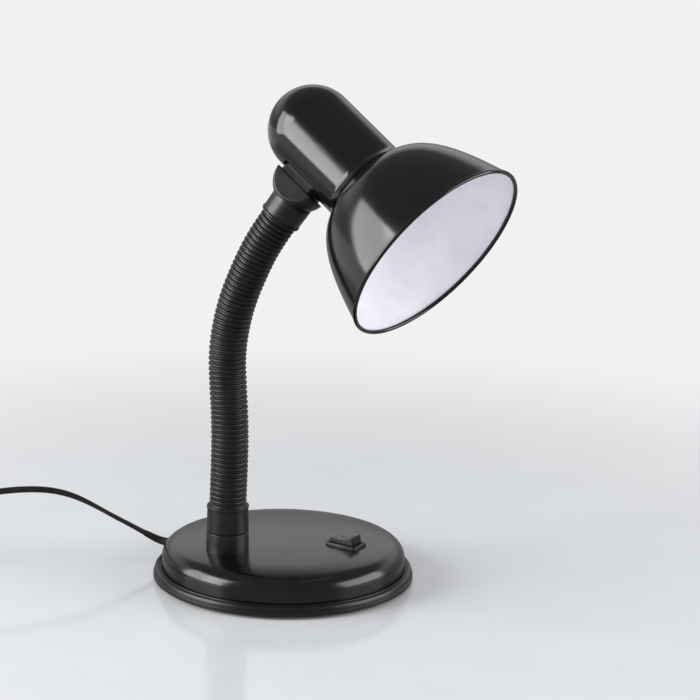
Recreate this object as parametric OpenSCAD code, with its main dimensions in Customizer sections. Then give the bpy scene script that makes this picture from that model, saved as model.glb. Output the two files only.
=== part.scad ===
// Gooseneck desk lamp: a weighted round base with a rocker switch, a ribbed bendable neck,
// and a bell shade on a domed lampholder cover that swivels on the end of the neck.
// Millimetres, +Z up, +X the way the neck leans, origin at the centre of the base on the table.

/* [Base] */
// Diameter of the tray flange around the bottom
flange_d = 160; // [158:1:170]
// Height of the tray flange above the table
flange_h = 7.6; // [7:0.2:9]
// Height of the crown of the base cover
base_h = 26.9; // [25:0.1:30]
// Sheet thickness of the base cover
cover_t = 1.2; // [0.8:0.1:1.4]

/* [Column and neck] */
// Where the neck stands on the base, along X
column_x = -25.5; // [-30:0.5:-20]
// Where the neck stands on the base, along Y
column_y = -33; // [-36:0.5:-30]
// Diameter of the two collars at the foot of the neck
collar_d = 25.6; // [24:0.2:28]
// Diameter over the ribs of the neck cover
rib_d = 22.5; // [21.5:0.1:22.5]
// Length of one link of the neck, from joint to joint
link_pitch = 18; // [17.5:0.1:18.5]

/* [Head] */
// Diameter of the domed lampholder cover
dome_d = 52.8; // [52.4:0.2:54]
// Diameter over the rolled rim of the shade
rim_d = 122.2; // [118:0.2:126]
// Depth of the shade from its rim to its top
shade_h = 58.6; // [56:0.2:60]
// Sheet thickness of the shade and of the lampholder cover
sheet_t = 0.8; // [0.6:0.1:0.9]
// Turn of the head about the end of the neck
head_turn = -35.2; // [-45:0.2:-25]

/* [Switch] */
// Length of the switch bezel
bezel_l = 21; // [20.5:0.1:22]
// Width of the switch bezel
bezel_w = 15; // [14.5:0.1:16]
// Tilt of the rocker either side of level
rocker_tilt = 12; // [9:0.5:13]

/* [Mains cord] */
// Diameter of the mains cord
cord_d = 4.1; // [3.9:0.1:4.2]

/* [Hidden] */
LINKS = 10;
$fn = 96;

black_gloss = [0.06, 0.06, 0.065];
black_matte = [0.1, 0.1, 0.105];
zinc = [0.72, 0.73, 0.74];
brass_colour = [0.8, 0.65, 0.3];

// ---- base: the cover is a crown, a shoulder, a corner and a wall, each one arc or a line
wall_r = 74.8;
crown_r = 770;
crown_edge = 51;
shoulder_edge = 70.6;
shoulder_slope = 12;
crown_slope = asin(crown_edge / crown_r);
shoulder_r = (shoulder_edge - crown_edge) / (sin(shoulder_slope) - sin(crown_slope));
corner_r = (wall_r - shoulder_edge) / (1 - sin(shoulder_slope));
crown_cz = base_h - crown_r;
shoulder_cx = crown_edge - shoulder_r * sin(crown_slope);
shoulder_cz = crown_cz + (crown_r - shoulder_r) * cos(crown_slope);
corner_cx = wall_r - corner_r;
corner_cz = shoulder_cz + (shoulder_r - corner_r) * cos(shoulder_slope);
cover_foot = 4;

plate_under = 1.2;
plate_top = 3.6;
flange_taper = 1.6;
pad_r = 74;
screw_r = 1.9;
screw_head_r = 3.8;
screw_ring_r = 60;
SCREW_AZIMUTHS = [80, 200, 320];
boss_r = 6;
boss_top = 5.9;
post_r = 4.5;
ballast_r = 70;
ballast_top = 10.1;

// ---- mains cord: from the clamp straight out of the base, over in one arch, and onto its coil
cord_r = cord_d / 2;
exit_azimuth = 176;
exit_z = 12.4;
CORD_ROUTE = [
    [-51.5, 3.6, 12.4], [-64.4, 4.5, 12.4], [-75.8, 5.3, 12.4], [-79.6, 5.4, 12.6],
    [-83.2, 5.1, 13.4], [-86.6, 4.3, 14.9], [-94.5, 1.4, 19.6], [-100.2, -0.6, 23.2],
    [-107.7, -2.9, 27.2], [-115.2, -4.2, 31.1], [-122.6, -5.1, 34.8], [-130.3, -5.9, 38.1],
    [-137.8, -7.1, 40.9], [-147.7, -10.3, 43.6], [-156.5, -15.5, 45], [-165.6, -22.5, 45.9],
    [-175.1, -30.9, 46.1], [-184.2, -38.7, 45.1], [-193.3, -46.5, 41.2], [-201.7, -53.7, 35],
    [-210.8, -61.5, 26.9], [-216.8, -66.7, 22.4], [-222.9, -71.9, 19.8], [-229, -77.1, 18.9],
    [-232.8, -80.4, 18.9]];
TAIL_ROUTE = [
    [-280.6, -65, 2.7], [-280.6, -57, 2.7], [-280.6, -49, 3.3], [-280.6, -42, 4.8],
    [-280.6, -35.5, 6.4], [-280.6, -31, 6.9], [-280.6, -27, 6.9]];
coil_at = [-248, -61.3, 0.6];
coil_mid_r = 24.5;
coil_w = 3 * cord_d;
coil_h = 4 * cord_d;
plug_at = [-280.6, -27, 6.9];
CORD_SIDES = 8;
SLEEVE_START = 2;
SLEEVE_END = 6;
sleeve_wall = 0.7;
sleeve_tip_wall = 0.25;

// ---- neck: the lean of each link away from upright, from the foot to the head
LINK_LEAN = [1.8, 1.2, -1.2, -3.8, -2.7, 6.7, 14.3, 21.8, 25.4, 33.4];
TOP_LEAN = 35;
link_gap = 3;
ribs = 6;
groove = 1.2;
link_l = link_pitch - link_gap;
rib_w = (link_l - groove * (ribs - 1)) / ribs;
rib_r = rib_d / 2;
hose_r = 10.1;
core_r = 6;
core_bore_r = 4.2;
core_gap = 2;
collar_r = collar_d / 2;
collar_seam = 37;
ferrule_top = 53.6;
neck_root = [column_x, column_y, ferrule_top + link_gap / 2];
nipple_r = 5;
nipple_bore_r = 3.5;
nipple_low = 17.5;
nipple_high = 31;

// ---- head joint: an oblique flat seat on the neck's end, square to the swivel tube
seat_h = 24;
seat_tilt = 43.8;
seat_turn = 22.4;
seat_slide = -2;
seat_r = 17.4;
seat_ball_r = 17.6;
seat_ball_z = sqrt(seat_ball_r * seat_ball_r - seat_r * seat_r);
flats_w = 20.2;
sleeve_r = 12.4;
sleeve_l = 12.5;
tube_r = 5;
tube_bore_r = 3.3;
tube_low = -10.5;
tube_high = 11.6;
tube_clearance = 0.06;
seat_play = 0.1;
saddle_r = 14.6;
saddle_w = 19.2;

// ---- head: measured along its own axis from the swivel, + towards the opening
axis_h = 28;
dome_r = dome_d / 2;
dome_centre = -18.8;
rim_reach = 90.8;
shade_top = rim_reach - shade_h;
rim_r = rim_d / 2;
rim_bead_r = 1.25;
shade_eye_r = 19.6;
shade_neck_r = 7;
shade_full = 0.921;
shade_round = 3.99;
shade_seat = 57.2;
shade_flat_r = 25;
SHADE_STEPS = 24;
flare_l = 4.4;
flare_r = 29.8;
dome_mouth = shade_top + 1.1;
bracket_z = 6;
bracket_t = 1.2;
nut_flats = 14;

holder_r = 19.5;
holder_rear_r = 12.6;
holder_flange_r = 22.5;
shell_bore_r = 13.3;
shell_r = 13.8;
shell_mouth = 37.5;
shell_floor = 12;
shell_start = 15;

// ---- switch
switch_x = 40.5;
switch_y = -3.1;
switch_turn = -15;
switch_body_l = 18.4;
switch_body_w = 12.7;
switch_body_h = 12.5;
bezel_t = 1.8;
well_l = 17.4;
well_w = 11;
well_d = 6.5;
rocker_l = 16;
rocker_w = 10.6;
rocker_end_h = 3.6;
rocker_dip_h = 2;
pivot_z = 0.2;
pivot_r = 1.2;

// ------------------------------------------------------------------ shared shapes

// Points on an arc in a radius-height outline, from angle a0 to a1 off the +Z direction
function arc(cx, cz, r, a0, a1, n) =
    [for (i = [0:n]) let (a = a0 + (a1 - a0) * i / n) [cx + r * sin(a), cz + r * cos(a)]];

function reversed(list) = [for (i = [len(list) - 1:-1:0]) list[i]];

// Outline of the base cover's outside, moved inwards by t
function cover_outline(t) = concat(
    arc(0, crown_cz, crown_r - t, 0, crown_slope, 6),
    arc(shoulder_cx, shoulder_cz, shoulder_r - t, crown_slope, shoulder_slope, 5),
    arc(corner_cx, corner_cz, corner_r - t, shoulder_slope, 90, 8),
    [[wall_r - t, cover_foot]]);

function crown_height(r) = crown_cz + sqrt(crown_r * crown_r - r * r);

// Centre of the neck joint below link i, counted from 0
function joint_at(i) = i == 0 ? neck_root :
    joint_at(i - 1) + link_pitch * [sin(LINK_LEAN[i - 1]), 0, cos(LINK_LEAN[i - 1])];

neck_end = joint_at(LINKS);
seat_at = neck_end + seat_h * [sin(TOP_LEAN), 0, cos(TOP_LEAN)];

// Radius of the shade's outside at distance s behind its rim
function shade_r(s) =
    shade_neck_r + (rim_r - shade_neck_r) * pow(1 - pow(s / shade_h, shade_full), 1 / shade_round);

function unit(v) = v / norm(v);

module rounded_rect(l, w, r) {
    square([l - 2 * r, w], center = true);
    square([l, w - 2 * r], center = true);
    for (x = [-1, 1], y = [-1, 1])
        translate([x * (l / 2 - r), y * (w / 2 - r)]) circle(r = r, $fn = 32);
}

module tube(r_out, r_in, h) {
    difference() {
        cylinder(r = r_out, h = h);
        translate([0, 0, -1]) cylinder(r = r_in, h = h + 2);
    }
}

module hex_nut(flats, bore_r, h) {
    difference() {
        cylinder(r = flats / sqrt(3), h = h, $fn = 6);
        translate([0, 0, -1]) cylinder(r = bore_r, h = h + 2);
    }
}

// Ring of points round point i of a route; level points along no part of the route
function ring_at(route, i, r, level, sides) =
    let (last = len(route) - 1,
         along = unit(route[min(i + 1, last)] - route[max(i - 1, 0)]),
         side = unit(cross(along, level)),
         up = cross(side, along))
    [for (k = [0:sides - 1])
        let (a = 360 * (k + 0.5) / sides)
        route[i] + r * (cos(a) * side + sin(a) * up)];

// A round cord or wire swept along the points of its route
module swept_cord(route, r, level = [0, 0, 1], sides = CORD_SIDES) {
    last = len(route) - 1;
    rings = [for (i = [0:last]) each ring_at(route, i, r, level, sides)];
    walls = [for (i = [0:last - 1], k = [0:sides - 1])
        let (a = i * sides + k, b = i * sides + (k + 1) % sides)
        [a, a + sides, b + sides, b]];
    near_cap = [for (k = [0:sides - 1]) k];
    far_cap = [for (k = [sides - 1:-1:0]) last * sides + k];
    polyhedron(points = rings, faces = concat(walls, [near_cap, far_cap]), convexity = 4);
}

// ------------------------------------------------------------------ places

module at_ring(azimuths, r) {
    for (a = azimuths) rotate([0, 0, a]) translate([r, 0, 0]) children();
}

module at_column() {
    translate([column_x, column_y, 0]) children();
}

// Link i, counted from 1, with +Z along the link and z = 0 at its lower joint
module at_link(i) {
    translate(joint_at(i - 1)) rotate([0, LINK_LEAN[i - 1], 0]) children();
}

module at_neck_end() {
    translate(neck_end) rotate([0, TOP_LEAN, 0]) children();
}

// The flat seat: +Z is the swivel axis, +X points the way the head does at rest
module at_seat() {
    translate(seat_at) rotate([0, seat_tilt, seat_turn]) rotate([0, 0, head_turn])
        translate([seat_slide, 0, 0]) children();
}

// The head's own axis: +Z towards the opening, z = 0 over the swivel
module on_head_axis() {
    at_seat() translate([0, 0, axis_h]) rotate([0, 90, 0]) children();
}

// The switch: z = 0 on the base, +X towards the raised end of the rocker
module at_switch() {
    r = norm([switch_x, switch_y]);
    translate([switch_x, switch_y, crown_height(r) - 0.06])
        rotate(a = asin(r / crown_r), v = [-switch_y, switch_x, 0])
            rotate([0, 0, switch_turn]) children();
}

// The cord's way out of the base: +X outwards, z = 0 at the cord's middle
module at_exit() {
    rotate([0, 0, exit_azimuth]) translate([wall_r, 0, exit_z]) children();
}

// ------------------------------------------------------------------ base

// Everything below the cover's outside moved inwards by t
module under_cover(t) {
    rotate_extrude() polygon(concat([[0, 0]], cover_outline(t), [[wall_r - t, 0]]));
}

module base_cover() {
    color(black_gloss) difference() {
        union() {
            rotate_extrude() polygon(concat(cover_outline(0), reversed(cover_outline(cover_t))));
            intersection() {
                at_ring(SCREW_AZIMUTHS, screw_ring_r)
                    translate([0, 0, boss_top]) cylinder(r = post_r, h = base_h);
                under_cover(cover_t);
            }
        }
        at_ring(SCREW_AZIMUTHS, screw_ring_r) cylinder(r = screw_r, h = 16, $fn = 32);
        at_column() cylinder(r = nipple_r, h = base_h + 5, $fn = 48);
        at_switch() cube([switch_body_l, switch_body_w, 8], center = true);
        at_exit() rotate([0, 90, 0]) cylinder(r = grommet_neck_r, h = 10, center = true, $fn = 48);
    }
}

module base_plate() {
    lip = 0.6;
    groove_in = wall_r + 1;
    groove_out = wall_r + 1.9;
    rim = flange_d / 2;
    color(black_matte) difference() {
        union() {
            rotate_extrude() polygon([
                [0, plate_under], [rim - flange_taper, plate_under], [rim, 2.6], [rim, 3.4],
                [rim - 2.2, flange_h - 0.5], [rim - 2.7, flange_h], [groove_out, flange_h],
                [groove_out - 0.2, flange_h - lip], [groove_in + 0.2, flange_h - lip],
                [groove_in, flange_h], [wall_r + 0.3, flange_h], [wall_r + 0.3, plate_top],
                [0, plate_top]]);
            at_ring(SCREW_AZIMUTHS, screw_ring_r)
                translate([0, 0, plate_under]) cylinder(r = boss_r, h = boss_top - plate_under);
        }
        at_ring(SCREW_AZIMUTHS, screw_ring_r) {
            cylinder(r = screw_head_r + 0.4, h = plate_top + 0.1, $fn = 48);
            cylinder(r = screw_r + 0.2, h = boss_top + 1, $fn = 32);
        }
    }
}

module ballast() {
    color([0.32, 0.32, 0.33]) difference() {
        translate([0, 0, plate_top]) cylinder(r = ballast_r, h = ballast_top - plate_top);
        at_ring(SCREW_AZIMUTHS, screw_ring_r) cylinder(r = boss_r + 1, h = base_h, $fn = 48);
        at_column() cylinder(r = 15, h = base_h, $fn = 48);
        translate([switch_x, switch_y, base_h / 2]) rotate([0, 0, switch_turn])
            cube([26, 20, base_h], center = true);
        at_clamp_holes() cylinder(r = 1.4, h = 20, $fn = 24);
    }
}

module base_screws() {
    color(zinc) at_ring(SCREW_AZIMUTHS, screw_ring_r) {
        difference() {
            translate([0, 0, plate_top - 2.1]) cylinder(r = screw_head_r, h = 2.2, $fn = 48);
            for (a = [0, 90]) rotate([0, 0, a])
                translate([0, 0, plate_top - 2.1]) cube([4.4, 1, 2], center = true);
        }
        translate([0, 0, plate_top]) cylinder(r = screw_r, h = 12, $fn = 32);
    }
}

module base_pad() {
    color([0.14, 0.14, 0.14]) difference() {
        cylinder(r = pad_r, h = plate_under);
        at_ring(SCREW_AZIMUTHS, screw_ring_r)
            translate([0, 0, -1]) cylinder(r = screw_head_r + 0.8, h = 4, $fn = 48);
    }
}

grommet_neck_r = 4;

// The bush in the wall that the cord passes through
module cord_grommet() {
    inner_face = -cover_t - 0.35;
    color(black_matte) at_exit() rotate([0, 90, 0]) rotate_extrude($fn = 48) polygon([
        [cord_r, inner_face - 1.2], [5, inner_face - 1.2], [5, inner_face],
        [grommet_neck_r, inner_face], [grommet_neck_r, 0.1], [4.4, 0.1], [4.4, 0.5],
        [4, 0.9], [cord_r, 0.9]]);
}

// The tapered strain relief that bends with the cord, from the bush outwards
module cord_sleeve() {
    route = [for (i = [SLEEVE_START:SLEEVE_END]) CORD_ROUTE[i]];
    last = len(route) - 1;
    bore_r = cord_r + 0.06;
    function out_r(i) = cord_r + sleeve_wall + (sleeve_tip_wall - sleeve_wall) * i / last;
    rings = concat([for (i = [0:last]) each ring_at(route, i, out_r(i), [0, 0, 1], CORD_SIDES)],
        [for (i = [last:-1:0]) each ring_at(route, i, bore_r, [0, 0, 1], CORD_SIDES)]);
    count = 2 * (last + 1);
    color(black_matte) polyhedron(points = rings, convexity = 6, faces =
        [for (i = [0:count - 1], k = [0:CORD_SIDES - 1])
            let (a = i * CORD_SIDES, b = (i + 1) % count * CORD_SIDES, n = (k + 1) % CORD_SIDES)
            each [[a + k, b + k, b + n], [a + k, b + n, a + n]]]);
}

clamp_r = 60;

module at_clamp_holes() {
    rotate([0, 0, exit_azimuth]) for (y = [-8, 8]) translate([clamp_r, y, 6]) children();
}

module cord_clamp() {
    color([0.85, 0.85, 0.82]) difference() {
        rotate([0, 0, exit_azimuth]) translate([clamp_r, 0, (ballast_top + 18) / 2])
            cube([8, 23, 18 - ballast_top], center = true);
        rotate([0, 0, exit_azimuth]) translate([clamp_r, 0, exit_z]) rotate([0, 90, 0])
            cylinder(r = cord_r, h = 20, center = true, $fn = 32);
        at_clamp_holes() cylinder(r = 1.4, h = 20, $fn = 24);
    }
}

module clamp_screws() {
    color(zinc) at_clamp_holes() {
        cylinder(r = 1.4, h = 12, $fn = 24);
        translate([0, 0, 12]) difference() {
            cylinder(r = 2.7, h = 1.8, $fn = 32);
            translate([0, 0, 1.8]) cube([6, 0.8, 1.4], center = true);
        }
    }
}

// The cord's cores inside the base: one to the switch, one from it and one straight up the neck
module base_wiring() {
    color([0.35, 0.2, 0.1])
        swept_cord([[-51.4, 4.8, 12.4], [-48, 5.4, 12.4], [-40, 6, 12], [-10, 9, 11.8],
            [20, 5, 11.8], [30, 0, 11.8], [33.8, -1.3, 11.8]], 1, sides = 6);
    color([0.15, 0.3, 0.7])
        swept_cord([[-51.4, 2.5, 12.4], [-48, 2.2, 12.4], [-42, -3, 12.4], [-33, -18, 12.6],
            [-29, -27, 12.8], [-27.6, -31.5, 14.2], [-27.1, -33, 17.5], [-27, -33, 23],
            [-27, -33, 28]], 1, [0, 1, 0.2], 6);
    color([0.35, 0.2, 0.1])
        swept_cord([[46.4, -4.8, 11.8], [49.5, -7, 11.8], [49, -13, 11.8], [43, -18, 11.8],
            [28, -24, 11.8], [5, -31, 11.8], [-14, -34.5, 11.9], [-20.5, -34.6, 13],
            [-23.5, -33.6, 16], [-24, -33, 20], [-24, -33, 28]], 1, [0.2, 1, 0], 6);
}

// ------------------------------------------------------------------ switch

module switch_housing() {
    color(black_matte) at_switch() difference() {
        union() {
            linear_extrude(bezel_t) rounded_rect(bezel_l, bezel_w, 1.4);
            translate([0, 0, -switch_body_h / 2])
                cube([switch_body_l - 0.2, switch_body_w - 0.2, switch_body_h], center = true);
        }
        translate([0, 0, bezel_t - well_d]) linear_extrude(well_d + 1)
            rounded_rect(well_l, well_w, 0.6);
        translate([0, 0, pivot_z]) rotate([90, 0, 0])
            cylinder(r = pivot_r + 0.05, h = 12, center = true, $fn = 32);
        for (x = [-5, 5]) translate([x, 0, -switch_body_h])
            cube([0.8, 4.8, 7], center = true);
    }
}

module switch_terminals() {
    color(brass_colour) at_switch() for (x = [-5, 5])
        translate([x, 0, -switch_body_h - 1.5]) cube([0.8, 4.8, 10], center = true);
}

// Outline of the rocker seen from its side, level, with the pivot at the origin
function rocker_outline() =
    let (top = bezel_t - pivot_z, half = rocker_l / 2, sag = rocker_end_h - rocker_dip_h)
    concat(
        [for (i = [-6:6]) [half * i / 6, top + rocker_dip_h + sag * (i / 6) * (i / 6)]],
        [[half, -0.6], [half - 2.6, -3.4], [-half + 2.6, -3.4], [-half, -0.6]]);

module rocker() {
    color([0.05, 0.05, 0.055]) at_switch() translate([0, 0, pivot_z])
        rotate([0, -rocker_tilt, 0]) {
            rotate([90, 0, 0]) linear_extrude(rocker_w, center = true) polygon(rocker_outline());
            rotate([90, 0, 0]) cylinder(r = pivot_r, h = 12, center = true, $fn = 32);
        }
}

// ------------------------------------------------------------------ neck foot

module neck_socket() {
    color(black_matte) at_column() difference() {
        rotate_extrude() polygon([
            [nipple_r, 20], [collar_r + 0.7, 20], [collar_r + 0.7, 26.8], [collar_r, 27.6],
            [collar_r, collar_seam - 0.3], [collar_r - 0.3, collar_seam],
            [core_r, collar_seam], [core_r, nipple_high], [nipple_r, nipple_high]]);
        translate([-column_x, -column_y, 0]) under_cover(0);
    }
}

module neck_ferrule() {
    color(black_matte) at_column() rotate_extrude() polygon([
        [core_r, collar_seam], [collar_r - 0.5, collar_seam], [collar_r - 0.5, collar_seam + 0.4],
        [collar_r, collar_seam + 0.7], [collar_r - 0.5, ferrule_top - 2.2],
        [collar_r - 0.1, ferrule_top - 2], [collar_r - 0.1, ferrule_top - 0.6],
        [collar_r - 0.7, ferrule_top], [hose_r, ferrule_top], [hose_r, ferrule_top - 3],
        [core_r, ferrule_top - 3]]);
}

module neck_nipple() {
    color(zinc) at_column() translate([0, 0, nipple_low])
        tube(nipple_r, nipple_bore_r, nipple_high - nipple_low);
}

module nipple_washer() {
    color(zinc) intersection() {
        at_column() translate([0, 0, 23.4]) tube(9, nipple_r, 3);
        under_cover(cover_t);
    }
}

module nipple_nut() {
    color(zinc) at_column() translate([0, 0, 19.9]) hex_nut(nut_flats, nipple_r, 3.5);
}

module neck_core_foot() {
    color(zinc) at_column() translate([0, 0, nipple_high])
        tube(core_r, core_bore_r, neck_root[2] - core_gap / 2 - nipple_high);
}

// ------------------------------------------------------------------ neck links

// Five grooves between six ribs, each rib with its edges broken
function rib_outline() = [for (k = [0:ribs - 1])
    let (z = k * (rib_w + groove))
    each [[hose_r, z], [rib_r, z + 0.3], [rib_r, z + rib_w - 0.3], [hose_r, z + rib_w]]];

module neck_cover(i) {
    color(black_matte) at_link(i) translate([0, 0, link_gap / 2]) rotate_extrude()
        polygon(concat(rib_outline(), [[core_r, link_l], [core_r, 0]]));
}

module neck_core(i) {
    color(zinc) at_link(i) translate([0, 0, core_gap / 2])
        tube(core_r, core_bore_r, link_pitch - core_gap);
}

// ------------------------------------------------------------------ neck top and swivel

module seat_flats(h) {
    translate([0, 0, h / 2]) cube([60, flats_w, abs(h)], center = true);
}

module neck_top_fitting() {
    color(black_matte) difference() {
        union() {
            at_neck_end() {
                translate([0, 0, link_gap / 2]) cylinder(r = sleeve_r + 0.2, h = 1.4);
                translate([0, 0, link_gap / 2])
                    cylinder(r1 = sleeve_r - 0.3, r2 = sleeve_r, h = sleeve_l);
            }
            at_seat() intersection() {
                translate([0, 0, seat_ball_z]) sphere(r = seat_ball_r);
                seat_flats(-30);
            }
        }
        at_neck_end() cylinder(r = core_r, h = 10);
        at_neck_end() translate([0, 0, 8]) cylinder(r = core_bore_r, h = 8);
        at_seat() translate([0, 0, tube_low]) cylinder(r = tube_r, h = 20);
    }
}

module neck_core_top() {
    color(zinc) at_neck_end() translate([0, 0, core_gap / 2])
        tube(core_r, core_bore_r, 10 - core_gap / 2);
}

module swivel_tube() {
    color(zinc) at_seat() translate([0, 0, tube_low]) tube(tube_r, tube_bore_r, tube_high - tube_low);
}

module swivel_spring() {
    color(zinc) at_seat() difference() {
        translate([0, 0, bracket_z + bracket_t + 0.05]) tube(7.6, tube_r, 0.95);
        translate([5, 0, bracket_z]) rotate([25, 0, 0]) cube([12, 0.8, 8], center = true);
    }
}

module swivel_nut() {
    color(zinc) at_seat() translate([0, 0, bracket_z + bracket_t + 1])
        hex_nut(nut_flats, tube_r, 2.8);
}

module head_saddle() {
    color(black_matte) at_seat() difference() {
        intersection() {
            translate([0, 0, seat_play]) cylinder(r = saddle_r, h = 6);
            cube([2 * saddle_r, saddle_w, 20], center = true);
        }
        translate([0, 0, axis_h]) rotate([0, 90, 0]) cylinder(r = dome_r, h = 60, center = true);
        cylinder(r = tube_r + tube_clearance, h = 30, center = true);
    }
}

// ------------------------------------------------------------------ head

// Outline of the lampholder cover, from its pole to its flared mouth, moved inwards by t
function dome_outline(t) = concat(
    arc(0, dome_centre, dome_r - t, 180, 90, 16),
    [[dome_r - t, dome_mouth - flare_l], [dome_r - t + 1, dome_mouth - flare_l / 2],
     [flare_r - t, dome_mouth]]);

module lampholder_cover() {
    color(black_gloss) difference() {
        on_head_axis() rotate_extrude()
            polygon(concat(dome_outline(0), reversed(dome_outline(sheet_t))));
        at_seat() cylinder(r = tube_r + tube_clearance, h = 20, $fn = 48);
    }
}

module seat_washer() {
    color(zinc) at_seat() intersection() {
        tube(9, tube_r + tube_clearance, bracket_z);
        translate([0, 0, axis_h]) rotate([0, 90, 0])
            cylinder(r = dome_r - sheet_t, h = 40, center = true);
    }
}

module holder_bracket() {
    strip_w = 14;
    tongue_w = 6;
    rear = -12;
    color(zinc) at_seat() difference() {
        union() {
            translate([rear, -strip_w / 2, bracket_z]) cube([20, strip_w, bracket_t]);
            translate([rear, -tongue_w / 2, bracket_z]) cube([bracket_t, tongue_w, 30]);
        }
        cylinder(r = tube_r + tube_clearance, h = 20, $fn = 48);
    }
}

module lampholder_body() {
    color([0.9, 0.88, 0.82]) on_head_axis() difference() {
        union() {
            translate([0, 0, 10]) cylinder(r = holder_r, h = 28);
            translate([0, 0, shade_top - 2.5]) cylinder(r = holder_flange_r, h = 2.5);
            translate([0, 0, -10.8]) cylinder(r = holder_rear_r, h = 21);
        }
        translate([0, 0, shell_floor]) cylinder(r = shell_r, h = 40);
        for (y = [-8, 8]) translate([0, y, -11]) cylinder(r = 1.6, h = 6, $fn = 24);
    }
}

module screw_shell() {
    color(brass_colour) on_head_axis() translate([0, 0, shell_start])
        tube(shell_r, shell_bore_r, shell_mouth - shell_start);
}

module centre_contact() {
    color(brass_colour) on_head_axis() translate([0, 0, shell_floor]) {
        cylinder(r = 5, h = 0.8, $fn = 48);
        cylinder(r1 = 3.5, r2 = 2, h = 2.6, $fn = 48);
    }
}

// Outside of the shade from its rim to the eye, then the same line moved inwards by t
function shade_outside() = concat(
    [for (i = [0:SHADE_STEPS])
        let (s = rim_bead_r + (shade_seat - rim_bead_r) * (1 - pow(1 - i / SHADE_STEPS, 1.4)))
        [shade_r(s), rim_reach - s]],
    [[shade_flat_r, shade_top], [shade_eye_r, shade_top]]);

function inward(points, t) = [for (i = [0:len(points) - 1])
    let (a = points[max(i - 1, 0)], b = points[min(i + 1, len(points) - 1)], d = unit(b - a))
    points[i] + t * [d[1], -d[0]]];

module shade() {
    outside = shade_outside();
    inside = [for (p = inward(outside, sheet_t)) [max(p[0], shade_eye_r), p[1]]];
    color(black_gloss) on_head_axis() rotate_extrude() union() {
        polygon(concat(outside, reversed(inside)));
        translate([rim_r - rim_bead_r, rim_reach - rim_bead_r]) circle(r = rim_bead_r, $fn = 24);
    }
}

module shade_ring() {
    color([0.9, 0.88, 0.82]) on_head_axis() difference() {
        translate([0, 0, shade_top + sheet_t]) tube(23.5, holder_r, 4.6);
        for (a = [0:30:330]) rotate([0, 0, a])
            translate([24.2, 0, shade_top]) cylinder(r = 1.5, h = 10, $fn = 24);
    }
}

// Two cores from the swivel tube to the back of the lampholder
module head_wiring() {
    for (side = [-1, 1])
        color(side > 0 ? [0.35, 0.2, 0.1] : [0.15, 0.3, 0.7]) at_seat()
            swept_cord([[0, side * 1.6, tube_low + 1], [0, side * 1.6, 2],
                [-0.5, side * 1.7, tube_high + 1.2], [-4, side * 2.4, 14.5],
                [-10, side * 4.4, 14.6], [-14.4, side * 6.2, 17.5],
                [-15.2, side * 7.4, 23], [-13.4, side * 8, 28], [-9, side * 8, axis_h],
                [-6.5, side * 8, axis_h]], 1, [0.1, 1, 0], 6);
}

// ------------------------------------------------------------------ cord

module mains_cord() {
    color(black_matte) swept_cord(CORD_ROUTE, cord_r);
}

module cord_coil() {
    color(black_matte) translate(coil_at) rotate_extrude()
        translate([coil_mid_r, coil_h / 2]) rounded_rect(coil_w, coil_h, cord_r);
}

module cord_tail() {
    color(black_matte) swept_cord(TAIL_ROUTE, cord_r);
}

module cord_tie() {
    tie_w = 8;
    tie_t = 0.6;
    color([0.12, 0.12, 0.12]) translate(coil_at) rotate([0, 0, 90])
        translate([coil_mid_r, 0, coil_h / 2]) rotate([90, 0, 0]) difference() {
            linear_extrude(tie_w, center = true)
                rounded_rect(coil_w + 1 + 2 * tie_t, coil_h + 2 * tie_t, cord_r + tie_t);
            linear_extrude(tie_w + 1, center = true) rounded_rect(coil_w + 1, coil_h, cord_r);
        }
}

plug_w = 35;
plug_t = 13.7;
plug_l = 36;
pin_r = 2;
pin_l = 19;
pin_spacing = 18.6;

// Flat two-pin plug lying on the table, its pins pointing along +Y
module plug_body() {
    color(black_matte) translate(plug_at) rotate([-90, 0, 0]) difference() {
        hull() {
            cylinder(r = 4.6, h = 2, $fn = 32);
            translate([0, 0, 14]) linear_extrude(2) rounded_rect(22, 12, 5);
            translate([0, 0, plug_l - 8]) linear_extrude(8) rounded_rect(plug_w, plug_t, 6);
        }
        for (x = [-1, 1]) translate([x * pin_spacing / 2, 0, plug_l - 8])
            cylinder(r = pin_r, h = 9, $fn = 32);
    }
}

module plug_pins() {
    color(brass_colour) translate(plug_at) rotate([-90, 0, 0])
        for (x = [-1, 1]) translate([x * pin_spacing / 2, 0, plug_l - 8]) {
            cylinder(r = pin_r, h = pin_l + 7, $fn = 32);
            translate([0, 0, pin_l + 7]) cylinder(r1 = pin_r, r2 = 1.2, h = 1, $fn = 32);
        }
}

// ------------------------------------------------------------------ nodes

base_cover();
base_plate();
ballast();
base_screws();
base_pad();
cord_grommet();
cord_sleeve();
cord_clamp();
clamp_screws();
base_wiring();
switch_housing();
switch_terminals();
rocker();
neck_socket();
neck_ferrule();
neck_nipple();
nipple_nut();
nipple_washer();
neck_core_foot();
for (i = [1:LINKS]) {
    neck_cover(i);
    neck_core(i);
}
neck_top_fitting();
neck_core_top();
swivel_tube();
swivel_spring();
swivel_nut();
head_saddle();
lampholder_cover();
seat_washer();
holder_bracket();
lampholder_body();
screw_shell();
centre_contact();
shade();
shade_ring();
head_wiring();
mains_cord();
cord_coil();
cord_tail();
cord_tie();
plug_body();
plug_pins();
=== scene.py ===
"""Desk lamp with a bendable ribbed neck: the finished surfaces round its CAD frame."""

import math

import bmesh
import bpy
import numpy as np
from mathutils import Matrix, Vector


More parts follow.
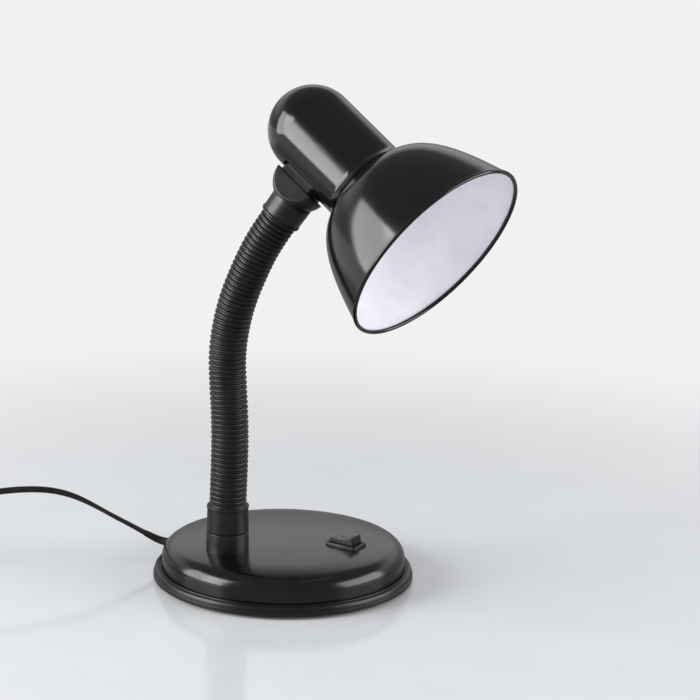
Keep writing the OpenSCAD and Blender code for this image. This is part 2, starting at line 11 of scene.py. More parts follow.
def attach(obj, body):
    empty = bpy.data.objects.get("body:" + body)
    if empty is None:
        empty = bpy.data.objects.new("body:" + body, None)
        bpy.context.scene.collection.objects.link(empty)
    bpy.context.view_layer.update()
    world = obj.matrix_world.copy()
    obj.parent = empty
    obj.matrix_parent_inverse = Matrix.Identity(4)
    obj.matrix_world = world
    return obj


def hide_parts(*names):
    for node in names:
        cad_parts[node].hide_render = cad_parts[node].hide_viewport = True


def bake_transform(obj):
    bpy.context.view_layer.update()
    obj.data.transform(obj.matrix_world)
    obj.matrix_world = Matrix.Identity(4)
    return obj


bl_info = {
    "name": "Gooseneck Desk Lamp",
    "version": (1, 0, 0),
    "blender": (4, 5, 0),
    "location": "View3D > Sidebar > Desk Lamp",
    "description": "Builds the visible pieces of a gooseneck desk lamp round its frame",
    "category": "Add Mesh",
}

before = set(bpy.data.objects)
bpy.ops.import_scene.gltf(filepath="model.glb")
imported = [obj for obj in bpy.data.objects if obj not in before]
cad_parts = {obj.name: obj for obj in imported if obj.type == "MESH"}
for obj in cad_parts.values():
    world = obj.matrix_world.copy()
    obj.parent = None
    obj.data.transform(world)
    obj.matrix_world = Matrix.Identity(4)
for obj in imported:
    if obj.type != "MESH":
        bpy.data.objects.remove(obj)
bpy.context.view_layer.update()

MM = 0.001

# ---------------------------------------------------------------- places, in millimetres

COLUMN = (-25.5, -33.0)
LINK_LEANS = (1.8, 1.2, -1.2, -3.8, -2.7, 6.7, 14.3, 21.8, 25.4, 33.4)
TOP_LEAN = 35.0
LINK_PITCH = 18.0
NECK_ROOT = Vector((*COLUMN, 55.1))
SEAT_REACH = 24.0
SEAT_TILT = 43.8
SEAT_TURN = 22.4
HEAD_TURN = -35.2
SEAT_SLIDE = -2.0
AXIS_HEIGHT = 28.0
RIM_REACH = 90.8
SWITCH_AT = (40.5, -3.1)
SWITCH_TURN = -15.0
EXIT_AZIMUTH = 176.0
EXIT_HEIGHT = 12.4


def turn(degrees, axis):
    return Matrix.Rotation(math.radians(degrees), 4, axis)


def shift(x, y, z):
    return Matrix.Translation((x, y, z))


def lean_direction(degrees):
    a = math.radians(degrees)
    return Vector((math.sin(a), 0.0, math.cos(a)))


def neck_joints():
    """The eleven joints of the neck at rest, from the foot to the head."""
    points = [NECK_ROOT.copy()]
    for lean in LINK_LEANS:
        points.append(points[-1] + LINK_PITCH * lean_direction(lean))
    return points


JOINTS = neck_joints()
NECK_END = shift(*JOINTS[-1]) @ turn(TOP_LEAN, "Y")
SEAT = (
    shift(*(JOINTS[-1] + SEAT_REACH * lean_direction(TOP_LEAN)))
    @ turn(SEAT_TURN, "Z")
    @ turn(SEAT_TILT, "Y")
    @ turn(HEAD_TURN, "Z")
    @ shift(SEAT_SLIDE, 0, 0)
)
HEAD_AXIS = SEAT @ shift(0, 0, AXIS_HEIGHT) @ turn(90, "Y")
COLUMN_PLACE = shift(*COLUMN, 0)
BASE_PLACE = Matrix.Identity(4)

# ---------------------------------------------------------------- outlines, in millimetres

CROWN_RADIUS = 770.0
CROWN_EDGE = 51.0
SHOULDER_EDGE = 67.0
SHOULDER_SLOPE = math.radians(10.4)
WALL_RADIUS = 74.8
COVER_FOOT = 4.0
COVER_SHEET = 1.2
# the shade's bell: exponents of its curve along and across, and its flat middle
SHADE_ALONG, SHADE_ACROSS = 0.921, 3.99
SHADE_FLAT = 7.0
# corners wider or sharper than these stay as they are when an outline is rounded
STRAIGHT, SPIKE = math.radians(168), math.radians(4)


def arc(cx, cz, radius, start, end, steps):
    """Points (radius, height) on an arc, with angles in radians from straight up."""
    angles = [start + (end - start) * i / steps for i in range(steps + 1)]
    return [(cx + radius * math.sin(a), cz + radius * math.cos(a)) for a in angles]


def cover_outline(height, inset):
    """Outside of the base cover from its centre to its foot, moved inwards by inset."""
    crown_slope = math.asin(CROWN_EDGE / CROWN_RADIUS)
    crown_z = height - CROWN_RADIUS
    shoulder = (SHOULDER_EDGE - CROWN_EDGE) / (math.sin(SHOULDER_SLOPE) - math.sin(crown_slope))
    corner = (WALL_RADIUS - SHOULDER_EDGE) / (1 - math.sin(SHOULDER_SLOPE))
    shoulder_x = CROWN_EDGE - shoulder * math.sin(crown_slope)
    shoulder_z = crown_z + (CROWN_RADIUS - shoulder) * math.cos(crown_slope)
    corner_z = shoulder_z + (shoulder - corner) * math.cos(SHOULDER_SLOPE)
    points = arc(0, crown_z, CROWN_RADIUS - inset, 0, crown_slope, 18)
    points += arc(shoulder_x, shoulder_z, shoulder - inset, crown_slope, SHOULDER_SLOPE, 10)[1:]
    corner_x = WALL_RADIUS - corner
    points += arc(corner_x, corner_z, corner - inset, SHOULDER_SLOPE, math.pi / 2, 14)[1:]
    return points + [(WALL_RADIUS - inset, COVER_FOOT)]


def crown_height(height, r):
    return height - CROWN_RADIUS + math.sqrt(CROWN_RADIUS**2 - r**2)


def shade_radius(s, rim_radius, depth):
    """Outside radius of the shade at distance s behind its rim: a superellipse."""
    full = 1 - (min(max(s, 0.0), depth) / depth) ** SHADE_ALONG
    return SHADE_FLAT + (rim_radius - SHADE_FLAT) * full ** (1 / SHADE_ACROSS)


def filleted(points, radius, steps=4, closed=True):
    """The outline with its corners rounded, by at most radius."""
    count = len(points)
    result = []
    for i, here in enumerate(points):
        if not closed and i in (0, count - 1):
            result.append(here)
            continue
        p = Vector(here)
        to_last = Vector(points[i - 1]) - p
        to_next = Vector(points[(i + 1) % count]) - p
        angle = to_last.angle(to_next, math.pi)
        if angle > STRAIGHT or angle < SPIKE:
            result.append(here)
            continue
        reach = min(radius / math.tan(angle / 2), 0.45 * min(to_last.length, to_next.length))
        a = p + to_last.normalized() * reach
        b = p + to_next.normalized() * reach
        for k in range(steps + 1):
            t = k / steps
            q = (1 - t) ** 2 * a + 2 * t * (1 - t) * p + t**2 * b
            result.append((q.x, q.y))
    return result


# ---------------------------------------------------------------- mesh makers


def mesh_object(name, points, faces, place=BASE_PLACE, sharp=38.0):
    """An object from points in millimetres, smooth but for edges sharper than the angle."""
    mesh = bpy.data.meshes.new(name)
    mesh.from_pydata([(place @ Vector(p)) * MM for p in points], [], faces)
    work = bmesh.new()
    work.from_mesh(mesh)
    bmesh.ops.remove_doubles(work, verts=work.verts, dist=1e-7)
    bmesh.ops.recalc_face_normals(work, faces=work.faces)
    work.to_mesh(mesh)
    work.free()
    mesh.validate()
    for polygon in mesh.polygons:
        polygon.use_smooth = True
    mesh.set_sharp_from_angle(angle=math.radians(sharp))
    obj = bpy.data.objects.new(name, mesh)
    bpy.context.scene.collection.objects.link(obj)
    return obj


def lathe(name, outline, place, segments=128, closed=True, sharp=38.0):
    """A turned piece: the outline, (radius, height), swept round the place's own Z."""
    points, faces, rows = [], [], []
    for r, z in outline:
        if r < 1e-6:
            rows.append([len(points)])
            points.append((0.0, 0.0, z))
            continue
        rows.append(list(range(len(points), len(points) + segments)))
        for k in range(segments):
            a = 2 * math.pi * k / segments
            points.append((r * math.cos(a), r * math.sin(a), z))
    pairs = list(zip(rows, rows[1:]))
    if closed:
        pairs.append((rows[-1], rows[0]))
    for low, high in pairs:
        if len(low) == 1 and len(high) == 1:
            continue
        for k in range(segments):
            n = (k + 1) % segments
            if len(low) == 1:
                faces.append((low[0], high[k], high[n]))
            elif len(high) == 1:
                faces.append((low[k], high[0], low[n]))
            else:
                faces.append((low[k], high[k], high[n], low[n]))
    return mesh_object(name, points, faces, place, sharp)


def bands(loops, count, closed):
    """Faces between neighbouring loops of count points, and from the last to the first."""
    faces = []
    for i in range(loops if closed else loops - 1):
        a, b = i * count, (i + 1) % loops * count
        for k in range(count):
            n = (k + 1) % count
            faces.append((a + k, b + k, b + n, a + n))
    return faces


def loft(name, loops, place, sharp=38.0):
    """A closed piece through loops of equal counts of points, with its two ends capped."""
    count = len(loops[0])
    points = [p for loop in loops for p in loop]
    faces = [tuple(range(count)), tuple(range(len(points) - count, len(points)))]
    faces += bands(len(loops), count, False)
    return mesh_object(name, points, faces, place, sharp)


def rounded_loop(length, width, corner, z, steps=6):
    """A rectangle with round corners, at height z."""
    corner = max(min(corner, length / 2 - 0.01, width / 2 - 0.01), 0.02)
    loop = []
    for sx, sy, start in ((1, 1, 0), (-1, 1, 90), (-1, -1, 180), (1, -1, 270)):
        for k in range(steps + 1):
            a = math.radians(start + 90 * k / steps)
            x = sx * (length / 2 - corner) + corner * math.cos(a)
            loop.append((x, sy * (width / 2 - corner) + corner * math.sin(a), z))
    return loop


def apply_modifiers(obj):
    """Replaces the object's mesh with what its modifiers make of it."""
    graph = bpy.context.evaluated_depsgraph_get()
    made = bpy.data.meshes.new_from_object(obj.evaluated_get(graph))
    obj.modifiers.clear()
    obj.data = made
    return obj


# ---------------------------------------------------------------- materials

# sockets of the node that mixes two colours
MIX_FIRST, MIX_SECOND, MIX_RESULT = 6, 7, 2
# noise rarely goes past these, so they become black and white
NOISE_SPAN = (0.3, 0.7)


def linear(code):
    """An sRGB hex colour as Blender's linear colour."""
    channels = [int(code[i : i + 2], 16) / 255 for i in (1, 3, 5)]
    return (*(c / 12.92 if c <= 0.04045 else ((c + 0.055) / 1.055) ** 2.4 for c in channels), 1.0)


def add(tree, kind, values=None, links=None, **settings):
    """Adds a node with its settings, its input values and the sockets that feed it."""
    node = tree.nodes.new(kind)
    for key, value in settings.items():
        setattr(node, key, value)
    for key, value in (values or {}).items():
        node.inputs[key].default_value = value
    for key, source in (links or {}).items():
        tree.links.new(source, node.inputs[key])
    return node


def per_mm(size):
    """A noise scale that gives features of this size in millimetres."""
    return 1 / (size * MM)


def start_material(name):
    material = bpy.data.materials.new(name)
    material.use_nodes = True
    tree = material.node_tree
    tree.nodes.clear()
    place = add(tree, "ShaderNodeTexCoord")
    return material, tree, place.outputs["Object"]


def end_material(material, tree, surface):
    add(tree, "ShaderNodeOutputMaterial", links={"Surface": surface.outputs[0]})
    return material


def speckled(tree, where, grain, detail=2.0):
    """A grey value from fine noise of the given grain in millimetres."""
    noise = add(
        tree,
        "ShaderNodeTexNoise",
        values={"Scale": per_mm(grain), "Detail": detail, "Roughness": 0.6},
        links={"Vector": where},
    )
    spread = add(
        tree,
        "ShaderNodeMapRange",
        values={"From Min": NOISE_SPAN[0], "From Max": NOISE_SPAN[1]},
        links={"Value": noise.outputs[0]},
    )
    return spread.outputs[0]


def gloss_enamel(name, colour, dusty, rough=0.11):
    """Stoving enamel on pressed steel: deep gloss with the slight orange peel of a sprayed coat."""
    material, tree, where = start_material(name)
    peel = speckled(tree, where, 2.2)
    bump = add(
        tree,
        "ShaderNodeBump",
        values={"Strength": 0.05, "Distance": 0.05 * MM},
        links={"Height": peel},
    )
    cloud = speckled(tree, where, 24.0, detail=4.0)
    roughness = add(
        tree,
        "ShaderNodeMapRange",
        values={"To Min": rough, "To Max": rough + 0.06},
        links={"Value": cloud},
    )
    # dust specks, drawn at 0.5 mm so that they show
    specks = add(
        tree,
        "ShaderNodeTexVoronoi",
        values={"Scale": per_mm(3.2), "Randomness": 1.0},
        links={"Vector": where},
    )
    few = add(
        tree,
        "ShaderNodeMapRange",
        values={"From Min": 0.05, "From Max": 0.09, "To Min": 0.35, "To Max": 0.0},
        links={"Value": specks.outputs["Distance"]},
    )
    tint = add(
        tree,
        "ShaderNodeMix",
        values={MIX_FIRST: linear(colour), MIX_SECOND: linear(dusty)},
        links={0: few.outputs[0]},
        data_type="RGBA",
    )
    surface = add(
        tree,
        "ShaderNodeBsdfPrincipled",
        values={"IOR": 1.5},
        links={
            "Base Color": tint.outputs[MIX_RESULT],
            "Roughness": roughness.outputs[0],
            "Normal": bump.outputs[0],
        },
    )
    return end_material(material, tree, surface)


def white_enamel(name, colour, shaded):
    """White stoving enamel, satin: throws the lamp's light forward."""
    material, tree, where = start_material(name)
    cloud = speckled(tree, where, 18.0, detail=3.0)
    tint = add(
        tree,
        "ShaderNodeMix",
        values={MIX_FIRST: linear(colour), MIX_SECOND: linear(shaded)},
        links={0: cloud},
        data_type="RGBA",
    )
    peel = speckled(tree, where, 1.6)
    bump = add(
        tree,
        "ShaderNodeBump",
        values={"Strength": 0.08, "Distance": 0.05 * MM},
        links={"Height": peel},
    )
    surface = add(
        tree,
        "ShaderNodeBsdfPrincipled",
        values={"Roughness": 0.42, "IOR": 1.5},
        links={"Base Color": tint.outputs[MIX_RESULT], "Normal": bump.outputs[0]},
    )
    return end_material(material, tree, surface)


def moulded_plastic(name, colour, worn, rough, grain=0.5, depth=0.02):
    """Injection-moulded plastic with a fine spark-eroded texture, drawn coarser than life."""
    material, tree, where = start_material(name)
    texture = speckled(tree, where, grain, detail=1.0)
    bump = add(
        tree,
        "ShaderNodeBump",
        values={"Strength": 0.25, "Distance": depth * MM},
        links={"Height": texture},
    )
    cloud = speckled(tree, where, 9.0, detail=4.0)
    tint = add(
        tree,
        "ShaderNodeMix",
        values={MIX_FIRST: linear(colour), MIX_SECOND: linear(worn)},
        links={0: cloud},
        data_type="RGBA",
    )
    roughness = add(
        tree,
        "ShaderNodeMapRange",
        values={"To Min": rough - 0.05, "To Max": rough + 0.07},
        links={"Value": cloud},
    )
    surface = add(
        tree,
        "ShaderNodeBsdfPrincipled",
        values={"IOR": 1.49},
        links={
            "Base Color": tint.outputs[MIX_RESULT],
            "Roughness": roughness.outputs[0],
            "Normal": bump.outputs[0],
        },
    )
    return end_material(material, tree, surface)


def plated_metal(name, colour, tarnish, rough):
    """Bright plated or rolled metal with faint handling marks."""
    material, tree, where = start_material(name)
    cloud = speckled(tree, where, 3.0, detail=5.0)
    tint = add(
        tree,
        "ShaderNodeMix",
        values={MIX_FIRST: linear(colour), MIX_SECOND: linear(tarnish)},
        links={0: cloud},
        data_type="RGBA",
    )
    roughness = add(
        tree,
        "ShaderNodeMapRange",
        values={"To Min": rough - 0.06, "To Max": rough + 0.1},
        links={"Value": cloud},
    )
    surface = add(
        tree,
        "ShaderNodeBsdfPrincipled",
        values={"Metallic": 1.0},
        links={"Base Color": tint.outputs[MIX_RESULT], "Roughness": roughness.outputs[0]},
    )
    return end_material(material, tree, surface)


# ---------------------------------------------------------------- settings


class DeskLampBase(bpy.types.PropertyGroup):
    """Sizes of the base, in millimetres."""

    height: bpy.props.FloatProperty(
        name="Base height", description="Height of the crown of the base, mm", default=26.9
    )
    flange: bpy.props.FloatProperty(
        name="Flange radius", description="Radius of the tray round the base, mm", default=80.0
    )
    flange_height: bpy.props.FloatProperty(
        name="Flange height", description="Height of the tray's top edge, mm", default=7.6
    )


class DeskLampNeck(bpy.types.PropertyGroup):
    """Sizes of the neck, in millimetres."""

    rib_radius: bpy.props.FloatProperty(
        name="Rib radius", description="Radius over the ribs of the hose, mm", default=11.25
    )
    groove_radius: bpy.props.FloatProperty(
        name="Groove radius", description="Radius in the grooves of the hose, mm", default=10.15
    )
    collar_radius: bpy.props.FloatProperty(
        name="Collar radius", description="Radius of the collars at the foot, mm", default=12.8
    )


class DeskLampHead(bpy.types.PropertyGroup):
    """Sizes of the head, in millimetres."""

    rim_radius: bpy.props.FloatProperty(
        name="Rim radius", description="Radius over the shade's rolled rim, mm", default=61.1
    )
    depth: bpy.props.FloatProperty(
        name="Shade depth", description="Depth of the shade, mm", default=58.6
    )
    dome_radius: bpy.props.FloatProperty(
        name="Cover radius", description="Radius of the lampholder cover, mm", default=26.4
    )


class DeskLampFinish(bpy.types.PropertyGroup):
    """Colours as sRGB hex codes."""

    enamel: bpy.props.StringProperty(
        name="Black enamel", description="Colour of the enamelled steel", default="#0d0d0e"
    )
    lining: bpy.props.StringProperty(
        name="White lining", description="Colour inside the shade", default="#f0eef4"
    )
    plastic: bpy.props.StringProperty(
        name="Black plastic", description="Colour of the moulded plastic", default="#0c0c0d"
    )
    cord: bpy.props.StringProperty(
        name="Cord cover", description="Colour of the mains cord", default="#0e0e0f"
    )


def material(name):
    """The shared materials, each made once."""
    ready = bpy.data.materials.get(name)
    if ready:
        return ready
    colours = bpy.context.scene.desk_lamp_finish
    makers = {
        "stoved enamel, black gloss": (gloss_enamel, colours.enamel, "#3a3a3c"),
        "pressed cover, black gloss": (gloss_enamel, colours.enamel, "#454547", 0.16),
        "stoved enamel, white satin": (white_enamel, colours.lining, "#e6e3ee"),
        "moulded ABS, black satin": (moulded_plastic, colours.plastic, "#131315", 0.32),
        "polythene hose, black": (moulded_plastic, colours.plastic, "#161618", 0.42, 0.7, 0.03),
        "polished ABS, black": (moulded_plastic, "#0b0b0c", "#111112", 0.14, 1.2, 0.01),
        "soft PVC, black": (moulded_plastic, colours.cord, "#18181a", 0.4, 0.6, 0.02),
        "foam pad, black": (moulded_plastic, "#1a1a1a", "#262626", 0.9, 0.8, 0.1),
        "moulded urea, cream": (moulded_plastic, "#e6e1d6", "#dcd6c9", 0.34),
        "grey cast iron": (moulded_plastic, "#4a4a4c", "#39393b", 0.7, 1.2, 0.15),
        "zinc-plated steel": (plated_metal, "#c9cacb", "#aeb0b2", 0.3),
        "rolled brass": (plated_metal, "#d8b36a", "#b98f4a", 0.28),
    }
    maker, *look = makers[name]
    return maker(name, *look)


def dress(obj, name):
    """Gives the object one material."""
    obj.data.materials.clear()
    obj.data.materials.append(material(name))
    return obj


def piece(obj, finish_name, body, replaced=()):
    """A finished piece: its material, the body it rides on and what it stands for."""
    dress(obj, finish_name)
    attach(obj, body)
    if replaced:
        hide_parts(*replaced)
    return obj


# ---------------------------------------------------------------- camera and cord

CAMERA_PLACE = Vector((369.60, -1231.54, 433.14))
CAMERA_RIGHT = Vector((0.96443, 0.26345, 0.02163))
CAMERA_DOWN = Vector((0.07812, -0.20591, -0.97545))
CAMERA_FORWARD = Vector((-0.25253, 0.94244, -0.21917))
FOCAL_PIXELS = 2180.0
IMAGE_PIXELS = 700.0
SENSOR = 36.0


class DESKLAMP_OT_camera(bpy.types.Operator):
    """Sets up the camera"""

    bl_idname = "desklamp.camera"
    bl_label = "Camera"

    def execute(self, context):
        data = bpy.data.cameras.new("camera")
        data.sensor_width = SENSOR
        data.lens = SENSOR * FOCAL_PIXELS / IMAGE_PIXELS
        data.clip_start = 0.05
        data.clip_end = 50
        camera = bpy.data.objects.new("camera", data)
        context.scene.collection.objects.link(camera)
        axes = Matrix((CAMERA_RIGHT, -CAMERA_DOWN, -CAMERA_FORWARD)).transposed()
        camera.matrix_world = Matrix.Translation(CAMERA_PLACE * MM) @ axes.to_4x4()
        context.scene.camera = camera
        return {"FINISHED"}


CORD_WIDTH = 4.1
CORD_THICKNESS = 2.7
CORD_ROUTE = (
    (-75.8, 5.3, 12.4), (-79.6, 5.4, 12.6), (-83.2, 5.1, 13.4), (-86.6, 4.3, 14.9),
    (-94.5, 1.4, 19.6), (-100.2, -0.6, 23.2), (-107.7, -2.9, 27.2), (-115.2, -4.2, 31.1),
    (-122.6, -5.1, 34.8), (-130.3, -5.9, 38.1), (-137.8, -7.1, 40.9), (-147.7, -10.3, 43.6),
    (-156.5, -15.5, 45), (-165.6, -22.5, 45.9), (-175.1, -30.9, 46.1), (-184.2, -38.7, 45.1),
    (-193.3, -46.5, 41.2), (-201.7, -53.7, 35), (-210.8, -61.5, 26.9), (-216.8, -66.7, 22.4),
)  # fmt: skip
TAIL_ROUTE = ((-280.6, -49, 3.3), (-280.6, -42, 4.8), (-280.6, -35.5, 6.4), (-280.6, -27, 6.9))
COIL_AT = Vector((-248, -61.3, 0.6))
COIL_RADIUS = 24.5
COIL_ROWS = 4
COIL_ENTRY = math.radians(-49)
COIL_EXIT = math.radians(-180)
COIL_STEPS = 40
PLUG_AT = Vector((-280.6, -27, 6.9))
# the flat cord leaves the base on edge, lies flat this far along it, and turns on edge the other
# way over the stretch that follows
TWIST_LENGTH = 36.0
TWIST_AFTER = 26.0
SLEEVE_LENGTH = 20.0
SLEEVE_WALL, SLEEVE_TIP = 0.5, 0.2
# share of a turn of the coil after which it eases into the next
EASE_FROM = 0.72
# radius and distance out of the wall
BUSH_OUTLINE = ((1.3, -2.75), (5, -2.75), (5, -1.55), (4, -1.55), (4, 0.1), (4.4, 0.1),
                (4.4, 0.6), (3.9, 1.1), (1.3, 1.2))  # fmt: skip
# distance along the plug, width, thickness and corner radius
PLUG_SECTIONS = (
    (0, 6.4, 6.4, 3.1), (0.6, 7.8, 7.8, 3.8), (6, 9.0, 8.6, 4.0), (12, 14.5, 10.6, 4.8),
    (17, 23, 12.2, 5.4), (23, 30.5, 13.2, 6.0), (28, 34, 13.7, 6.4), (32, 35, 13.7, 6.5),
    (35.2, 35, 13.7, 6.5), (36, 33.8, 12.6, 6.0),
)  # fmt: skip
# how far the tie stands out of the coil, and where across it
TIE_SECTIONS = ((0.8, -4), (1.15, -3.7), (1.15, 3.7), (0.8, 4), (0.05, 4), (0.05, -4))
TIE_CORNER = 2.1


def coil_layers():
    """Radius and height of each turn, from the top row down, there and back again."""
    layers = [(COIL_RADIUS, COIL_ROWS - 1), (COIL_RADIUS - CORD_WIDTH, COIL_ROWS - 1)]
    inwards = False
    for row in range(COIL_ROWS - 2, -1, -1):
        across = (1, 0, -1) if inwards else (-1, 0, 1)
        layers += [(COIL_RADIUS + CORD_WIDTH * side, row) for side in across]
        inwards = not inwards
    return [(r, COIL_AT.z + CORD_WIDTH * (row + 0.5)) for r, row in layers]


def coil_points():
    """The wound turns, clockwise from above, each easing into the next at one place."""
    layers = coil_layers()
    turns = len(layers)
    total = (turns - 1) * 2 * math.pi + COIL_ENTRY - COIL_EXIT
    count = int(COIL_STEPS * total / (2 * math.pi))
    points = []
    for i in range(count + 1):
        swept = total * i / count
        level = min(int(swept / (2 * math.pi)), turns - 1)
        within = swept / (2 * math.pi) - level
        ease = min(max((within - EASE_FROM) / (1 - EASE_FROM), 0), 1)
        ease = ease * ease * (3 - 2 * ease)
        r0, z0 = layers[level]
        r1, z1 = layers[min(level + 1, turns - 1)]
        r, z = r0 + (r1 - r0) * ease, z0 + (z1 - z0) * ease
        a = COIL_ENTRY - swept
        points.append((COIL_AT.x + r * math.cos(a), COIL_AT.y + r * math.sin(a), z))
    return points


def cord_roll(run):
    """Turn of the flat cord about its own line: on edge, flat, then on edge the other way."""
    if run < TWIST_LENGTH:
        return math.pi / 2 * (1 - run / TWIST_LENGTH) ** 2
    return -math.pi / 2 * (1 - math.exp(-(((run - TWIST_LENGTH) / TWIST_AFTER) ** 1.3)))


def flat_tube(name, line, size_at, sides=20):
    """A tube of oval section along the line; size_at gives its width and thickness."""
    loops, run = [], 0.0
    for i, here in enumerate(line):
        last, following = line[max(i - 1, 0)], line[min(i + 1, len(line) - 1)]
        along = Vector(following - last).normalized()
        if i > 0:
            run += float(np.linalg.norm(here - last))
        level = along.cross(Vector((0, 0, 1))).normalized()
        upright = level.cross(along)
        roll = cord_roll(run)
        broad = math.cos(roll) * level + math.sin(roll) * upright
        narrow = along.cross(broad)
        width, thickness = size_at(run)
        loop = []
        for k in range(sides):
            a = 2 * math.pi * k / sides
            offset = width / 2 * math.cos(a) * broad + thickness / 2 * math.sin(a) * narrow
            loop.append(Vector(here) + offset)
        loops.append(loop)
    return loft(name, loops, BASE_PLACE, 60)


def smoothed(points, rounds):
    """The line with each inner point drawn towards its neighbours."""
    line = np.array(points, float)
    for _ in range(rounds):
        line[1:-1] = 0.25 * line[:-2] + 0.5 * line[1:-1] + 0.25 * line[2:]
    return line


def catmull(points, steps):
    """A smooth line through the points."""
    p = [np.array(q, float) for q in points]
    p = [2 * p[0] - p[1]] + p + [2 * p[-1] - p[-2]]
    line = []
    for i in range(1, len(p) - 2):
        for k in range(steps):
            t = k / steps
            a, b, c, d = p[i - 1], p[i], p[i + 1], p[i + 2]
            bend = (2 * a - 5 * b + 4 * c - d) * t**2 + (3 * b - a - 3 * c + d) * t**3
            line.append(0.5 * (2 * b + (c - a) * t + bend))
    line.append(p[-2])
    return line


class DESKLAMP_OT_cord(bpy.types.Operator):
    """Builds the mains cord with its coil, tie, plug and the sleeve where it leaves the base"""

    bl_idname = "desklamp.cord"
    bl_label = "Mains cord"

    def execute(self, context):
        run, tail = catmull(CORD_ROUTE, steps=3), catmull(TAIL_ROUTE, steps=3)
        line = [tuple(p) for p in run] + coil_points() + [tuple(p) for p in tail]
        line = smoothed(line, rounds=4)
        cord = flat_tube("cord_run", line, lambda run: (CORD_WIDTH, CORD_THICKNESS))
        piece(cord, "soft PVC, black", "base",
              ("mains_cord", "cord_coil", "cord_tail"))  # fmt: skip
        plug, tie = self.plug(), self.tie()
        self.bush()
        self.sleeve(line)
        return {"FINISHED"}

    def plug(self):
        """Flat two-pin plug, moulded onto the cord."""
        place = shift(*PLUG_AT) @ turn(-90, "X")
        loops = [rounded_loop(w, t, c, z) for z, w, t, c in PLUG_SECTIONS]
        body = loft("plug_moulding", loops, place, 50)
        return piece(body, "soft PVC, black", "base", ("plug_body",))

    def tie(self):
        """The strap round the coil."""
        width, height = 3 * CORD_WIDTH + 1, COIL_ROWS * CORD_WIDTH
        place = shift(*COIL_AT) @ turn(90, "Z") @ shift(COIL_RADIUS, 0, height / 2) @ turn(90, "X")
        loops = []
        for proud, z in TIE_SECTIONS:
            loops.append(rounded_loop(width + proud, height + proud, TIE_CORNER + proud / 2, z))
        points = [p for loop in loops for p in loop]
        faces = bands(len(loops), len(loops[0]), True)
        strap = mesh_object("coil_strap", points, faces, place, 50)
        return piece(strap, "soft PVC, black", "base", ("cord_tie",))

    def bush(self):
        """The rubber bush in the wall of the base."""
        place = turn(EXIT_AZIMUTH, "Z") @ shift(WALL_RADIUS, 0, EXIT_HEIGHT) @ turn(90, "Y")
        bush = lathe("cord_bush", filleted(BUSH_OUTLINE, 0.2, 3), place, 40)
        piece(bush, "soft PVC, black", "base", ("cord_grommet",))

    def sleeve(self, line):
        """The tapered strain relief, moulded on the cord where it leaves the bush."""
        reach = np.concatenate(([0], np.cumsum(np.linalg.norm(np.diff(line, axis=0), axis=1))))
        covered = line[reach <= SLEEVE_LENGTH]
        sleeve = flat_tube("cord_relief", covered, self.sleeve_size)
        piece(sleeve, "soft PVC, black", "base", ("cord_sleeve",))

    def sleeve_size(self, run):
        """Width and thickness of the strain relief, wider by less and less along it."""
        wall = SLEEVE_WALL + (SLEEVE_TIP - SLEEVE_WALL) * min(run / SLEEVE_LENGTH, 1)
        return CORD_WIDTH + 2 * wall, CORD_THICKNESS + 2 * wall


# ---------------------------------------------------------------- base


TRAY_LOW, TRAY_FLOOR = 1.2, 3.6


class DESKLAMP_OT_base(bpy.types.Operator):
    """Builds the pressed cover of the base and the tray under it"""

    bl_idname = "desklamp.base"
    bl_label = "Base"

    def execute(self, context):
        sizes = context.scene.desk_lamp_base
        outside = cover_outline(sizes.height, 0)
        inside = cover_outline(sizes.height, COVER_SHEET)
        outline = outside[:-1] + [(WALL_RADIUS, COVER_FOOT + 0.2)]
        outline += [(WALL_RADIUS - COVER_SHEET, COVER_FOOT)] + inside[::-1][1:]
        cover = lathe("base_dome", outline, BASE_PLACE, 192, closed=False, sharp=60)
        piece(cover, "pressed cover, black gloss", "base", ("base_cover",))

        rim, top, wall = sizes.flange, sizes.flange_height, WALL_RADIUS
        outline = [
            (0, TRAY_LOW), (rim - 1.2, TRAY_LOW), (rim, 2.0), (rim, 4.0), (rim - 0.8, 4.6),
            (rim - 0.8, 4.9), (rim - 0.5, 5.2), (rim - 1.0, top - 0.5), (rim - 2.0, top),
            (wall + 1.9, top), (wall + 1.7, top - 0.6), (wall + 1.2, top - 0.6),
            (wall + 1.0, top), (wall + 0.3, top), (wall + 0.3, TRAY_FLOOR), (0, TRAY_FLOOR),
        ]  # fmt: skip
        outline = filleted(outline, 0.35, 4, closed=False)
        tray = lathe("base_tray", outline, BASE_PLACE, 192, closed=False, sharp=50)
        piece(tray, "moulded ABS, black satin", "base", ("base_plate",))
        return {"FINISHED"}


# ---------------------------------------------------------------- switch


# length, width, corner radius and height of the housing, up its outside and down its opening
HOUSING_SECTIONS = (
    (18.2, 12.5, 0.4, -12.5), (18.2, 12.5, 0.4, 0), (21, 15, 1.4, 0), (21, 15, 1.4, 1.1),
    (20.7, 14.7, 1.3, 1.5), (20, 14, 1.1, 1.8), (17.9, 11.5, 0.8, 1.8), (17.4, 11, 0.6, 1.4),
    (17.4, 11, 0.6, -4.7),
)  # fmt: skip
HOUSING_SUNK = 0.06
ROCKER_HALF, ROCKER_WIDTH = 8.0, 10.6
ROCKER_MIDDLE, ROCKER_ENDS = 3.6, 5.2
ROCKER_UNDER, ROCKER_FOOT, ROCKER_FOOT_IN = -0.6, -3.4, 2.6
ROCKER_PIVOT, ROCKER_TILT = 0.2, -12
# share of the half width, and how far the rocker's outline is drawn in there
ROCKER_SIDES = ((-1, 0.35), (-0.93, 0.0), (0.93, 0.0), (1, 0.35))


